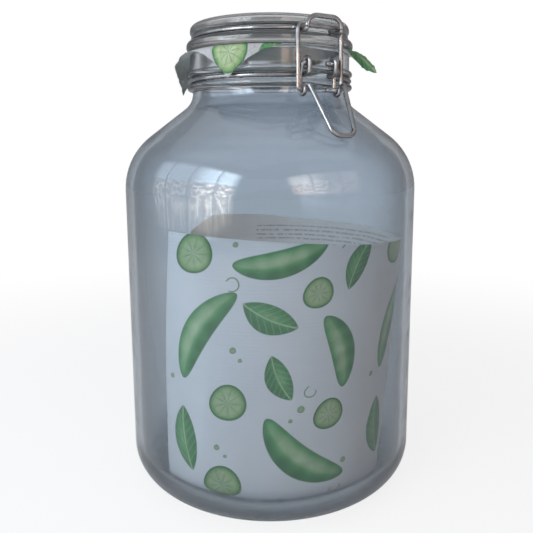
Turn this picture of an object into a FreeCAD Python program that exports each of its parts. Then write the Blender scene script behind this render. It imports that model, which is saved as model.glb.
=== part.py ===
import FreeCAD, Part
import Sketcher
import math
import os

V = FreeCAD.Vector

# Glass storage jar with a wire bail closure, a printed square sheet laid over its
# mouth under the lid, and a printed leaflet rolled inside it. Millimetres, +Z up.
# The origin is the centre of the base. The closure faces -Y and the hinge +Y.

SIZES = {
    # glass jar
    "body_radius": 89.0,
    "body_wall": 4.5,
    "heel_radius": 25.0,
    "inner_heel": 20.0,
    "floor_thickness": 8.0,
    "kick_radius": 54.0,
    "kick_depth": 2.0,
    "kick_slope": 4.0,
    "shoulder_radius": 40.0,
    "shoulder_slope": 52.75,
    "neck_blend": 12.0,
    "neck_radius": 47.0,
    "neck_base": 242.0,
    "bead_ledge": 1.4,
    "bead_round": 1.8,
    "bead_gap": 0.75,
    "collar_height": 10.4,
    "rim_round": 1.5,
    # wires
    "wire_radius": 1.25,
    "groove_gap": 0.35,
    "side_gap": 0.3,
    "pin_gap": 0.08,
    "ring_fillet": 3.0,
    "tight_bend": 1.6,
    "leg_bend": 2.5,
    # closure
    "eye_wrap": 250.0,
    "eye_rise": 6.1,
    "pivot_reach": 6.4,
    "crank_spread": 11.4,
    "crank_drop": 14.1,
    "crank_gap": 0.4,
    "crank_lean": 6.0,
    "crank_bend": 4.0,
    "crank_fold": 1.9,
    "crank_return": 2.1,
    "pin_length": 7.3,
    "handle_reach": 23.0,
    "handle_drop": 25.0,
    "handle_tip": 7.0,
    "handle_round": 6.0,
    "bar_gap": 3.35,
    "bar_round": 3.2,
    "nose_half": 11.3,
    "nose_reach": 4.6,
    "nose_rise": 5.0,
    "nose_round": 6.4,
    "nose_dip": 2.4,
    "dip_start": 2.0,
    "dip_end": 0.6,
    "dip_bend": 1.6,
    "bar_seat": 0.55,
    # rear hinge
    "hinge_rise": 10.6,
    "bridge_drop": 2.6,
    # glass lid
    "flange_over": 3.3,
    "flange_height": 6.7,
    "flange_round": 3.0,
    "dome_over": 1.0,
    "dome_height": 6.3,
    "dome_lower": 2.0,
    "dome_round": 3.6,
    "dish_radius": 33.0,
    "dish_depth": 1.4,
    "dish_slope": 2.0,
    "hollow_radius": 39.0,
    "hollow_depth": 5.5,
    "hollow_slope": 2.0,
    # printed sheet
    "sheet_half": 51.0,
    "sheet_thickness": 0.3,
    "sheet_turn": -56.0,
    "sheet_over": 0.3,
    "lid_gap": 0.3,
    # rolled leaflet
    "leaflet_thickness": 0.4,
    "leaflet_gap": 1.0,
    "leaflet_taper": 11.9,
    "leaflet_rest": 0.3,
    "leaflet_height": 157.4,
    "leaflet_tilt": 4.35,
    "leaflet_high": -95.0,
    "leaflet_start": -71.0,
    "leaflet_arc": 267.0,
    "leaflet_lean": 21.0,
}


def fill_sheet(doc):
    """The spreadsheet of driving sizes, one alias in each row."""
    sheet = doc.addObject("Spreadsheet::Sheet", "Sizes")
    for row, (name, size) in enumerate(SIZES.items(), start=1):
        sheet.set(f"A{row}", name)
        sheet.set(f"B{row}", str(size))
        sheet.setAlias(f"B{row}", name)
    doc.recompute()
    return sheet


def size(text):
    """An expression whose bare aliases are read from the sheet."""
    words = []
    for word in text.split():
        words.append(f"Sizes.{word}" if word in SIZES else word)
    return "(" + " ".join(words) + ")"


# Levels and radii that several pieces share, as expressions in the sheet's aliases.
BEAD_RADIUS = size("neck_radius + bead_ledge + bead_round")
LOW_BEAD = size("neck_base + bead_gap + bead_round + 0.2")
WIRE_LEVEL = f"({LOW_BEAD} + {size('bead_round + bead_gap + wire_radius')})"
HIGH_BEAD = f"({WIRE_LEVEL} + {size('bead_round + bead_gap + wire_radius')})"
RIM_TOP = f"({HIGH_BEAD} + {size('bead_round + collar_height')})"
COLLAR = size("neck_radius + bead_ledge")
SLOPE_SIN = "sin(Sizes.shoulder_slope * 1 deg)"
SLOPE_COS = "cos(Sizes.shoulder_slope * 1 deg)"
CONE_TOP_R = f"(Sizes.neck_radius + Sizes.neck_blend * (1 - {SLOPE_COS}))"
CONE_TOP_Z = f"(Sizes.neck_base - Sizes.neck_blend * {SLOPE_SIN})"
CONE_LOW_R = f"(Sizes.body_radius - Sizes.shoulder_radius * (1 - {SLOPE_COS}))"
CONE_LOW_Z = f"({CONE_TOP_Z} - ({CONE_LOW_R} - {CONE_TOP_R}) * {SLOPE_COS} / {SLOPE_SIN})"
WALL_TOP = f"({CONE_LOW_Z} - Sizes.shoulder_radius * {SLOPE_SIN})"
LID_BASE = f"({RIM_TOP} + {size('sheet_thickness + lid_gap')})"
FLANGE_TOP = f"({LID_BASE} + Sizes.flange_height)"
LID_WIRE_LEVEL = f"({FLANGE_TOP} + {size('groove_gap + wire_radius')})"
DOME_BASE = f"({LID_WIRE_LEVEL} + {size('groove_gap + wire_radius')})"
LID_TOP = f"({DOME_BASE} + Sizes.dome_height)"
FLANGE_RADIUS = size("neck_radius + flange_over")
DOME_RADIUS = size("neck_radius + dome_over")
LEAFLET_TOP_R = size("body_radius - body_wall - leaflet_gap")
# The roll's lower edge rests in the jar's inner heel, where that is as wide as the roll.
HEEL_REACH = f"pow({size('inner_heel - leaflet_gap - leaflet_taper')}; 2)"
HEEL_DEPTH = f"sqrt(pow({size('inner_heel - leaflet_rest')}; 2) - {HEEL_REACH})"
LEAFLET_LEVEL = f"({size('floor_thickness + inner_heel')} - {HEEL_DEPTH})"
LID_RING = f"({DOME_RADIUS} - {size('wire_radius + 0.5')})"


def plane(body, role):
    """One of a body's own origin planes."""
    for feature in body.Origin.OriginFeatures:
        if feature.Role == role:
            return feature
    raise ValueError(role)


def profile(sheet, body, name, corners):
    """A closed sketch on the XZ plane. Each corner is (radius, level[, arc]).

    The first two are expressions for its place. The third is the radius of the arc
    that arrives there from the corner before, positive where it bulges outwards.
    """
    sketch = body.newObject("Sketcher::SketchObject", name)
    sketch.AttachmentSupport = (plane(body, "XZ_Plane"), "")
    sketch.MapMode = "FlatFace"
    places = [V(sheet.evalExpression(c[0]), sheet.evalExpression(c[1]), 0) for c in corners]
    for index, corner in enumerate(corners):
        start = places[index - 1]
        end = places[index]
        if len(corner) > 2:
            sketch.addGeometry(arc_between(start, end, sheet.evalExpression(corner[2])))
        else:
            sketch.addGeometry(Part.LineSegment(start, end))
    ends = [end_of(sketch.Geometry[index], place) for index, place in enumerate(places)]
    for index in range(len(corners)):
        following = (index + 1) % len(corners)
        pair = (index, ends[index], following, 3 - ends[following])
        sketch.addConstraint(Sketcher.Constraint("Coincident", *pair))
    for index, corner in enumerate(corners):
        bind_corner(sketch, corner, (index, ends[index]), places[index])
    return sketch


def arc_between(start, end, bulge):
    """The minor arc from start to end, to the right of the way where bulge is positive."""
    middle = (start + end) * 0.5
    half = (end - start) * 0.5
    radius = abs(bulge)
    side = 1 if bulge > 0 else -1
    right = V(half.y, -half.x, 0).normalize()
    depth = math.sqrt(max(radius ** 2 - half.Length ** 2, 0.0))
    crown = middle + right * (side * (radius - depth))
    # A sketch keeps its arcs anticlockwise.
    return Part.Arc(start, crown, end) if bulge > 0 else Part.Arc(end, crown, start)


def end_of(side, place):
    """The sketch's number (1 or 2) for the end of a side that lies at a place."""
    nearer_start = side.StartPoint.distanceToPoint(place) < side.EndPoint.distanceToPoint(place)
    return 1 if nearer_start else 2


def bind_corner(sketch, corner, point, place):
    """Binds a corner's place, and the radius of the arc that arrives there."""
    for kind, text, value in (("DistanceX", corner[0], place.x), ("DistanceY", corner[1], place.y)):
        if abs(value) < 1e-9:
            axis = -2 if kind == "DistanceX" else -1
            sketch.addConstraint(Sketcher.Constraint("PointOnObject", *point, axis))
            continue
        number = sketch.addConstraint(Sketcher.Constraint(kind, -1, 1, *point, value))
        sketch.setExpression(f"Constraints[{number}]", text)
    if len(corner) > 2:
        radius = sketch.Geometry[point[0]].Radius
        number = sketch.addConstraint(Sketcher.Constraint("Radius", point[0], radius))
        sketch.setExpression(f"Constraints[{number}]", f"abs({corner[2]})")


def turned(doc, sheet, label, corners):
    """A body of revolution about Z from one closed profile."""
    body = doc.addObject("PartDesign::Body", label)
    sketch = profile(sheet, body, f"{label}_profile", corners)
    doc.recompute()
    spin = body.newObject("PartDesign::Revolution", f"{label}_turned")
    spin.Profile = sketch
    spin.ReferenceAxis = (sketch, ["V_Axis"])
    spin.Angle = 360.0
    doc.recompute()
    return body


def jar_corners():
    """Half section of the jar: outside from the base up, then inside down."""
    wall = size("body_wall")
    low_foot = f"({LOW_BEAD} - Sizes.bead_round)"
    low_head = f"({LOW_BEAD} + Sizes.bead_round)"
    high_foot = f"({HIGH_BEAD} - Sizes.bead_round)"
    high_head = f"({HIGH_BEAD} + Sizes.bead_round)"
    rim_side = f"({RIM_TOP} - Sizes.rim_round)"
    return [
        ("0", size("kick_depth")),
        (size("kick_radius"), size("kick_depth")),
        (size("kick_radius + kick_slope"), "0"),
        (size("body_radius - heel_radius"), "0"),
        (size("body_radius"), size("heel_radius"), size("heel_radius")),
        (size("body_radius"), WALL_TOP),
        (CONE_LOW_R, CONE_LOW_Z, size("shoulder_radius")),
        (CONE_TOP_R, CONE_TOP_Z),
        (size("neck_radius"), size("neck_base"), size("-1 * neck_blend")),
        (size("neck_radius"), low_foot),
        (COLLAR, low_foot),
        (COLLAR, low_head, size("bead_round * 1.0001")),
        (size("neck_radius"), low_head),
        (size("neck_radius"), high_foot),
        (COLLAR, high_foot),
        (COLLAR, high_head, size("bead_round * 1.0001")),
        (COLLAR, rim_side),
        (f"({COLLAR} - Sizes.rim_round)", RIM_TOP, size("rim_round")),
        (f"(Sizes.neck_radius - {wall} + Sizes.rim_round)", RIM_TOP),
        (f"(Sizes.neck_radius - {wall})", rim_side, size("rim_round")),
        (f"(Sizes.neck_radius - {wall})", size("neck_base")),
        (f"({CONE_TOP_R} - {wall} * {SLOPE_COS})", f"({CONE_TOP_Z} - {wall} * {SLOPE_SIN})",
         f"({size('neck_blend + body_wall')})"),
        (f"({CONE_LOW_R} - {wall} * {SLOPE_COS})", f"({CONE_LOW_Z} - {wall} * {SLOPE_SIN})"),
        (size("body_radius - body_wall"), WALL_TOP, size("-1 * ( shoulder_radius - body_wall )")),
        (size("body_radius - body_wall"), size("floor_thickness + inner_heel")),
        (size("body_radius - body_wall - inner_heel"), size("floor_thickness"),
         size("-1 * inner_heel")),
        ("0", size("floor_thickness")),
    ]


def lid_corners():
    """Half section of the lid: hollow underside, flange, wire groove and dome."""
    flange_low = f"({LID_BASE} + Sizes.flange_round)"
    flange_high = f"({FLANGE_TOP} - Sizes.flange_round)"
    groove = f"({LID_RING} - {size('wire_radius + 0.1')})"
    return [
        ("0", f"({LID_BASE} + Sizes.hollow_depth)"),
        (size("hollow_radius - hollow_slope"), f"({LID_BASE} + Sizes.hollow_depth)"),
        (size("hollow_radius"), LID_BASE),
        (f"({FLANGE_RADIUS} - Sizes.flange_round)", LID_BASE),
        (FLANGE_RADIUS, flange_low, size("flange_round")),
        (FLANGE_RADIUS, flange_high),
        (f"({FLANGE_RADIUS} - Sizes.flange_round)", FLANGE_TOP, size("flange_round")),
        (groove, FLANGE_TOP),
        (groove, DOME_BASE),
        (f"({DOME_RADIUS} - Sizes.dome_lower)", DOME_BASE),
        (DOME_RADIUS, f"({DOME_BASE} + Sizes.dome_lower)", size("dome_lower")),
        (DOME_RADIUS, f"({LID_TOP} - Sizes.dome_round)"),
        (f"({DOME_RADIUS} - Sizes.dome_round)", LID_TOP, size("dome_round")),
        (size("dish_radius + dish_slope"), LID_TOP),
        (size("dish_radius"), f"({LID_TOP} - Sizes.dish_depth)"),
        ("0", f"({LID_TOP} - Sizes.dish_depth)"),
    ]


def bent(points, radii):
    """Straight runs through points, joined by a tangent arc at each inner point."""
    edges = []
    start = points[0]
    for index, radius in enumerate(radii, start=1):
        corner = points[index]
        back = (points[index - 1] - corner).normalize()
        ahead = (points[index + 1] - corner).normalize()
        half_turn = (math.pi - back.getAngle(ahead)) / 2
        reach = radius * math.tan(half_turn)
        enter = corner + back * reach
        leave = corner + ahead * reach
        toward = (back + ahead).normalize()
        crown = corner + toward * (radius / math.cos(half_turn) - radius)
        if start.distanceToPoint(enter) > 1e-4:
            edges.append(Part.LineSegment(start, enter).toShape())
        edges.append(Part.Arc(enter, crown, leave).toShape())
        start = leave
    edges.append(Part.LineSegment(start, points[-1]).toShape())
    return edges


def ring_exit(ring, across, fillet):
    """How far out a leg at this offset from the middle leaves its ring's fillet."""
    return math.sqrt((ring + fillet) ** 2 - (across + fillet) ** 2)


def ring_half(ring, level, fillet, front, rear):
    """The right half of a wire ring, blended into a leg at the front and the rear."""
    edges = []
    touches = []
    for across, side in ((front, -1), (rear, 1)):
        out = ring_exit(ring, across, fillet)
        centre = V(across + fillet, side * out, level)
        touch = V(centre.x, centre.y, 0) * (ring / (ring + fillet)) + V(0, 0, level)
        leg = V(across, side * out, level)
        toward = ((touch - centre).normalize() + (leg - centre).normalize()).normalize()
        edges.append(Part.Arc(leg, centre + toward * fillet, touch).toShape())
        touches.append(touch)
    edges.append(Part.Arc(touches[0], V(ring, 0, level), touches[1]).toShape())
    return edges


def wire(doc, label, halves, radius):
    """A round wire along the right half of a path that ends on the plane x = 0."""
    path = Part.Wire(Part.__sortEdges__(halves))
    first = path.OrderedEdges[0]
    start = path.OrderedVertexes[0].Point
    along = first.tangentAt(first.FirstParameter)
    section = Part.Wire(Part.makeCircle(radius, start, along))
    right = path.makePipeShell([section], True, False)
    length = sum(edge.Length for edge in halves)
    expected = math.pi * radius ** 2 * length
    if abs(right.Volume / expected - 1) > 0.01:
        raise ValueError(f"{label}: {right.Volume:.1f} against {expected:.1f}")
    whole = right.fuse(right.mirror(V(0, 0, 0), V(1, 0, 0)))
    piece = doc.addObject("Part::Feature", label)
    piece.Shape = whole.Solids[0]
    piece.Placement = FreeCAD.Placement()
    return piece


def front(across, out, level):
    """A point on the closure's side, by its distance out from the axis."""
    return V(across, -out, level)


def rear(across, out, level):
    """A point on the hinge's side, by its distance out from the axis."""
    return V(across, out, level)


class Closure:
    """The places that the wires share, read from the sheet."""

    def __init__(self, sheet):
        read = sheet.evalExpression
        self.wire = read("wire_radius")
        self.eye = 2 * self.wire + read("pin_gap")
        self.neck_level = read(WIRE_LEVEL)
        self.neck_ring = read(size("neck_radius + side_gap + wire_radius"))
        self.lid_level = read(LID_WIRE_LEVEL)
        self.lid_ring = read(LID_RING)
        self.pivot_out = read(size("neck_radius + pivot_reach"))
        self.pivot_level = self.neck_level + read("eye_rise")
        self.spread = read("crank_spread")
        self.eye_across = self.spread - 2 * self.wire - read("side_gap")
        self.hasp_across = self.spread + 2 * self.wire + read("side_gap")
        self.slot = 2 * self.wire + read("pin_gap")
        bead_face = math.sqrt(read(BEAD_RADIUS) ** 2 - (self.spread - self.wire) ** 2)
        self.crank_out = bead_face + read("crank_gap") + self.wire
        self.link_out = self.crank_out + self.slot
        self.link_level = self.pivot_level - read("crank_drop")
        self.bar_out = read(DOME_RADIUS) + read("bar_gap") + self.wire
        self.dip_level = self.lid_level - read("nose_dip")
        self.bar_level = self.dip_level + 2 * self.wire + read("bar_seat")
        self.nose_out = self.bar_out + read("nose_reach")
        self.pin_end = self.spread - read("pin_length")
        self.hinge_out = self.pivot_out
        self.hinge_level = self.neck_level + read("hinge_rise")


def make_neck_wire(doc, sheet, at):
    """The ring between the beads, its front eyes, its rear eyes and their bridge."""
    read = sheet.evalExpression
    fillet = read("ring_fillet")
    edges = ring_half(at.neck_ring, at.neck_level, fillet, at.eye_across, at.eye_across)
    leg = ring_exit(at.neck_ring, at.eye_across, fillet)
    outer = at.pivot_out + at.eye
    edges += bent([
        front(at.eye_across, leg, at.neck_level),
        front(at.eye_across, outer, at.neck_level),
        front(at.eye_across, outer, at.pivot_level),
    ], [read("ring_fillet")])
    wrap = math.radians(read("eye_wrap"))
    on_eye = [front(at.eye_across, at.pivot_out + at.eye * math.cos(angle),
                    at.pivot_level + at.eye * math.sin(angle)) for angle in (0, wrap / 2, wrap)]
    edges.append(Part.Arc(*on_eye).toShape())
    outer = at.hinge_out + at.eye
    inner = at.hinge_out - at.eye
    edges += bent([
        rear(at.eye_across, leg, at.neck_level),
        rear(at.eye_across, outer, at.neck_level),
        rear(at.eye_across, outer, at.hinge_level),
    ], [read("ring_fillet")])
    over = rear(at.eye_across, at.hinge_out, at.hinge_level + at.eye)
    edges.append(Part.Arc(edges[-1].Vertexes[-1].Point, over,
                          rear(at.eye_across, inner, at.hinge_level)).toShape())
    bridge = at.hinge_level - read("bridge_drop")
    edges += bent([
        rear(at.eye_across, inner, at.hinge_level),
        rear(at.eye_across, inner, bridge),
        rear(0, inner, bridge),
    ], [read("tight_bend")])
    return wire(doc, "neck_wire", edges, at.wire)


def make_lid_wire(doc, sheet, at):
    """The ring in the lid's groove, its upturned nose and its hinge pins."""
    read = sheet.evalExpression
    fillet = read("ring_fillet")
    half = read("nose_half")
    edges = ring_half(at.lid_ring, at.lid_level, fillet, half, at.spread)
    top = at.lid_level + read("nose_rise")
    edges += bent([
        front(half, ring_exit(at.lid_ring, half, fillet), at.lid_level),
        front(half, read(FLANGE_RADIUS) - read("dip_start"), at.lid_level),
        front(half, at.bar_out - read("dip_end"), at.dip_level),
        front(half, at.nose_out, at.dip_level),
        front(half, at.nose_out, top),
        front(0, at.nose_out, top),
    ], [read("dip_bend"), read("dip_bend"), read("tight_bend"), read("nose_round")])
    edges += bent([
        rear(at.spread, ring_exit(at.lid_ring, at.spread, fillet), at.lid_level),
        rear(at.spread, at.hinge_out, at.lid_level),
        rear(at.spread, at.hinge_out, at.hinge_level),
        rear(at.pin_end, at.hinge_out, at.hinge_level),
    ], [read("leg_bend"), read("tight_bend")])
    return wire(doc, "lid_wire", edges, at.wire)


def make_lever(doc, sheet, at):
    """The handle, with a fold, a slot and a crank to a pin on each side."""
    read = sheet.evalExpression
    outer = at.crank_out + 2 * at.slot
    foot = at.link_level - at.slot
    fold = read("crank_fold")
    head = at.link_level + read("crank_return")
    tip_out = at.link_out + read("handle_reach")
    tip_level = at.link_level - read("handle_drop")
    edges = bent([
        front(at.pin_end, at.pivot_out, at.pivot_level),
        front(at.spread, at.pivot_out, at.pivot_level),
        front(at.spread, at.crank_out, at.pivot_level - read("crank_lean")),
        front(at.spread, at.crank_out, foot),
        front(at.spread, outer, foot),
        front(at.spread, outer, head),
        front(at.spread, outer + 2 * fold, head),
        front(read("handle_tip"), tip_out, tip_level),
        front(0, tip_out, tip_level),
    ], [read("tight_bend"), read("crank_bend"), at.slot, at.slot, fold, fold,
        read("handle_round")])
    return wire(doc, "lever", edges, at.wire)


def make_hasp(doc, sheet, at):
    """The bail: a bar behind the nose, two legs and a pin into each slot."""
    read = sheet.evalExpression
    edges = bent([
        front(0, at.bar_out, at.bar_level),
        front(at.hasp_across, at.bar_out, at.bar_level),
        front(at.hasp_across, at.link_out, at.link_level),
        front(at.pin_end, at.link_out, at.link_level),
    ], [read("bar_round"), read("tight_bend")])
    return wire(doc, "hasp", edges, at.wire)


def make_leaflet(doc, sheet):
    """A leaflet rolled into an open cone that rests in the jar's heel and leans in it."""
    outer = doc.addObject("Part::Cone", "leaflet_outside")
    inner = doc.addObject("Part::Cone", "leaflet_inside")
    for cone, thickness in ((outer, "0"), (inner, "Sizes.leaflet_thickness")):
        cone.setExpression("Radius1", f"{LEAFLET_TOP_R} - Sizes.leaflet_taper - {thickness}")
        cone.setExpression("Radius2", f"{LEAFLET_TOP_R} - {thickness}")
        cone.setExpression("Height", "Sizes.leaflet_height")
        cone.setExpression("Placement.Base.z", LEAFLET_LEVEL)
    tube = doc.addObject("Part::Cut", "leaflet_tube")
    tube.Base = outer
    tube.Tool = inner
    opened = doc.addObject("Part::Cut", "leaflet_opened")
    opened.Base = tube
    opened.Tool = make_leaflet_gap(doc, sheet)
    leaflet = doc.addObject("Part::Cut", "leaflet")
    leaflet.Base = opened
    leaflet.Tool = make_leaflet_trim(doc, sheet)
    return leaflet


def at_bearing(radius, bearing, level):
    """A point by its distance from the axis, its bearing from -Y towards +X and its level."""
    angle = math.radians(bearing)
    return V(radius * math.sin(angle), -radius * math.cos(angle), level)


# How many flat sides close the wedge between the roll's ends.
GAP_STEPS = 4


def make_leaflet_gap(doc, sheet):
    """The wedge between the roll's two ends, which lean apart towards the top."""
    read = sheet.evalExpression
    reach = 1.1 * read("body_radius")
    low = read(LEAFLET_LEVEL)
    sections = []
    for level, lean in ((low, read("leaflet_lean")), (low + read("leaflet_height"), 0.0)):
        first = read("leaflet_start + leaflet_arc") + lean
        last = read("leaflet_start") + 360 - lean
        bearings = [first + (last - first) * step / GAP_STEPS for step in range(GAP_STEPS + 1)]
        corners = [V(0, 0, level)] + [at_bearing(reach, bearing, level) for bearing in bearings]
        sections.append(Part.makePolygon(corners + corners[:1]))
    gap = doc.addObject("Part::Feature", "leaflet_gap")
    gap.Shape = Part.makeLoft(sections, True, True)
    gap.Placement = FreeCAD.Placement()
    return gap


def make_leaflet_trim(doc, sheet):
    """The round block above the roll's sloping upper edge, which is highest on one side."""
    trim = doc.addObject("Part::Cylinder", "leaflet_trim")
    trim.setExpression("Radius", "2 * Sizes.body_radius")
    trim.setExpression("Height", "Sizes.leaflet_height")
    across = at_bearing(1, sheet.evalExpression("leaflet_high") + 90, 0)
    trim.Placement = FreeCAD.Placement(V(0, 0, 0), FreeCAD.Rotation(across, 1))
    trim.setExpression("Placement.Rotation.Angle", "Sizes.leaflet_tilt")
    drop = f"{LEAFLET_TOP_R} * tan(Sizes.leaflet_tilt * 1 deg)"
    trim.setExpression("Placement.Base.z", f"{LEAFLET_LEVEL} + Sizes.leaflet_height - {drop}")
    return trim


# Each corner of the sheet, from the one at the sheet's turn round to the right: how
# far it falls below level in degrees, the length of its bend, its stretch past the
# corner of a true square, and how fast its far side rises and its near side drops.
CORNERS = (
    (86.0, 3.6, 0.955, 0.0),
    (44.0, 6.0, 1.0, 1.2),
    (50.0, 6.0, 1.0, 0.0),
    (84.0, 17.0, 1.08, 0.0),
)
SHEET_COLUMNS = 72
# How far inside the lid's edge the sheet starts to bend.
BEND_START = 1.2
# Where the sheet's stations stand along its overhang, as shares of its length.
SHEET_SHARES = (0.08, 0.16, 0.24, 0.5, 0.75, 1.0)
# Degrees either side of the closure and of the hinge that the sheet is cut back.
CUT_BACK = 17.5
CUT_RAMP = 8.0


def make_printed_sheet(doc, sheet):
    """The square sheet: flat over the rim, its corners bent down outside it."""
    read = sheet.evalExpression
    level = read(RIM_TOP)
    thick = read("sheet_thickness")
    edge = read(FLANGE_RADIUS) + read("sheet_over")
    columns = []
    for step in range(SHEET_COLUMNS):
        away = 360.0 * step / SHEET_COLUMNS
        corner = math.floor(away / 90.0 + 0.5)
        off = away - 90.0 * corner
        fall, bend, stretch, twist = CORNERS[corner % 4]
        reach = read("sheet_half") / math.cos(math.radians(45 - abs(off)))
        reach *= 1 + (stretch - 1) * (1 - abs(off) / 45)
        bearing = read("sheet_turn") + away
        clear = min(1.0, max(0.0, (closure_distance(bearing) - CUT_BACK) / CUT_RAMP))
        spare = max(0.0, reach - edge) * clear
        rise = twist * math.sin(math.radians(off))
        stations = overhang(edge, spare, math.radians(fall), bend, rise)
        columns.append(sheet_column(bearing, stations, level, thick))
    return close_sheet(doc, "printed_sheet", columns, level, thick)


def closure_distance(bearing):
    """Degrees from the nearer of the closure and the hinge."""
    return abs((bearing + 90.0) % 180.0 - 90.0)


def overhang(edge, spare, fall, bend, rise):
    """Stations (out, down, slope) along the sheet from just inside its bend.

    Past the lid's edge the sheet also rises by a share of its length there.
    """
    length = BEND_START + spare
    out = edge - BEND_START
    down = 0.0
    before = 0.0
    stations = [(out, down, 0.0)]
    for share in SHEET_SHARES:
        step = (share - before) * length
        slope = fall * min(1.0, (share + before) / 2 * length / bend)
        out += step * math.cos(slope)
        down += step * math.sin(slope)
        past = max(0.0, share * length - BEND_START)
        stations.append((out, down - rise * past, slope))
        before = share
    return stations


def sheet_column(bearing, stations, level, thick):
    """The (upper, lower) points of the sheet along one bearing, outwards."""
    angle = math.radians(bearing)
    outward = V(math.sin(angle), -math.cos(angle), 0)
    points = []
    for out, down, slope in stations:
        middle = outward * out + V(0, 0, level + thick / 2 - down)
        normal = (outward * math.sin(slope) + V(0, 0, math.cos(slope))) * (thick / 2)
        points.append((middle + normal, middle - normal))
    return points


def close_sheet(doc, label, columns, level, thick):
    """A closed faceted solid from the columns and a flat middle."""
    top = V(0, 0, level + thick)
    low = V(0, 0, level)
    faces = []
    count = len(columns)
    for index in range(count):
        here = columns[index]
        there = columns[(index + 1) % count]
        faces.append((top, here[0][0], there[0][0]))
        faces.append((low, there[0][1], here[0][1]))
        for station in range(len(here) - 1):
            a, b = here[station], here[station + 1]
            c, d = there[station], there[station + 1]
            faces += [(a[0], b[0], d[0]), (a[0], d[0], c[0])]
            faces += [(b[1], a[1], d[1]), (d[1], a[1], c[1])]
        last, beside = here[-1], there[-1]
        faces += [(last[0], last[1], beside[1]), (last[0], beside[1], beside[0])]
    skin = [Part.Face(Part.makePolygon([a, b, c, a])) for a, b, c in faces]
    shell = Part.makeShell(skin)
    shell.sewShape()
    solid = Part.makeSolid(shell)
    if solid.Volume < 0:
        solid.reverse()
    piece = doc.addObject("Part::Feature", label)
    piece.Shape = solid
    piece.Placement = FreeCAD.Placement()
    return piece


def main():
    doc = FreeCAD.newDocument("jar")
    sheet = fill_sheet(doc)
    at = Closure(sheet)
    pieces = [
        turned(doc, sheet, "glass_jar", jar_corners()),
        turned(doc, sheet, "glass_lid", lid_corners()),
        make_neck_wire(doc, sheet, at),
        make_lid_wire(doc, sheet, at),
        make_lever(doc, sheet, at),
        make_hasp(doc, sheet, at),
        make_leaflet(doc, sheet),
        make_printed_sheet(doc, sheet),
    ]
    doc.recompute()
    check(doc, pieces)
    os.makedirs("parts", exist_ok=True)
    for piece in pieces:
        piece.Shape.exportStep(f"parts/{piece.Label}.step")
    report(at)


def check(doc, pieces):
    """Stops on a failed object or an unsound shape."""
    for item in doc.Objects:
        if "Invalid" in item.State or "Error" in item.State:
            raise ValueError(f"{item.Label} failed: {item.State}")
    for piece in pieces:
        shape = piece.Shape
        if shape.isNull() or not shape.isValid() or len(shape.Solids) != 1:
            raise ValueError(f"{piece.Label} is unsound: {len(shape.Solids)} solids")
        print(f"{piece.Label}: {shape.Volume / 1000:.2f} cm3 {shape.BoundBox}")


def report(at):
    """Prints the axes that the joints use."""
    print(f"lever axis out {at.pivot_out:.3f} level {at.pivot_level:.3f}")
    print(f"hasp axis out {at.link_out:.3f} level {at.link_level:.3f}")
    print(f"hinge axis out {at.hinge_out:.3f} level {at.hinge_level:.3f}")


main()
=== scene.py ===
import math

import bmesh
import bpy
from mathutils import Matrix, Vector, noise


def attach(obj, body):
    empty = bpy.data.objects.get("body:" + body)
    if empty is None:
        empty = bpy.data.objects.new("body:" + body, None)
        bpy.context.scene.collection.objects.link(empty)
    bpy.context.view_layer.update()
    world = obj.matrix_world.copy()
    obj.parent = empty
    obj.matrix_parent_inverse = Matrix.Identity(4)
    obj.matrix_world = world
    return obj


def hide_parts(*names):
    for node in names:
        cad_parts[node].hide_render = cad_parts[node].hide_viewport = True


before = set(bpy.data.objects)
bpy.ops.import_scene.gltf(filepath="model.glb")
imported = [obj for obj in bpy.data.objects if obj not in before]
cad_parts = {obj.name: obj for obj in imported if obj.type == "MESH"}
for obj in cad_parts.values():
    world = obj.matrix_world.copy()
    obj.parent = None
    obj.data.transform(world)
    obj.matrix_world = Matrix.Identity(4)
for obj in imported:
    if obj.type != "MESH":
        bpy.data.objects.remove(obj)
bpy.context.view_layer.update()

# A tall glass jar with a wire bail closure. The closure faces -Y, the hinge +Y.
# Sizes are in millimetres and are turned into metres as each mesh is made.
MM = 0.001

BODY_RADIUS = 89.0
WALL = 4.5
HEEL_RADIUS = 25.0
INNER_HEEL = 20.0
FLOOR = 8.0
KICK_RADIUS = 54.0
KICK_DEPTH = 2.0
KICK_SLOPE = 4.0
SHOULDER_RADIUS = 40.0
SHOULDER_SLOPE = math.radians(52.75)
NECK_BLEND = 12.0
NECK_RADIUS = 47.0
NECK_BASE = 242.0
COLLAR = 48.4
BEAD_ROUND = 1.8
LOW_BEAD = 244.75
HIGH_BEAD = 252.35
RIM_TOP = 264.55
RIM_ROUND = 1.5

LID_BASE = 265.15
FLANGE_TOP = 271.85
FLANGE_RADIUS = 50.3
FLANGE_ROUND = 3.0
DOME_BASE = 275.05
DOME_RADIUS = 48.0
DOME_LOWER = 2.0
DOME_ROUND = 3.6
LID_TOP = 281.35
GROOVE_RADIUS = 44.9
DISH_RADIUS = 33.0
DISH_DEPTH = 1.4
DISH_SLOPE = 2.0
HOLLOW_RADIUS = 39.0
HOLLOW_DEPTH = 5.5
HOLLOW_SLOPE = 2.0

SHEET_HALF = 51.0
SHEET_THICKNESS = 0.3
SHEET_TURN = -56.0
SHEET_EDGE = 50.6
BEND_START = 1.2
# Each corner of the sheet: its fall in degrees, the length of its bend, its stretch and
# how fast its far side rises.
CORNERS = (
    (86.0, 3.6, 0.955, 0.0),
    (44.0, 6.0, 1.0, 1.2),
    (50.0, 6.0, 1.0, 0.0),
    (84.0, 17.0, 1.08, 0.0),
)
CUT_BACK = 17.5
CUT_RAMP = 8.0

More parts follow.
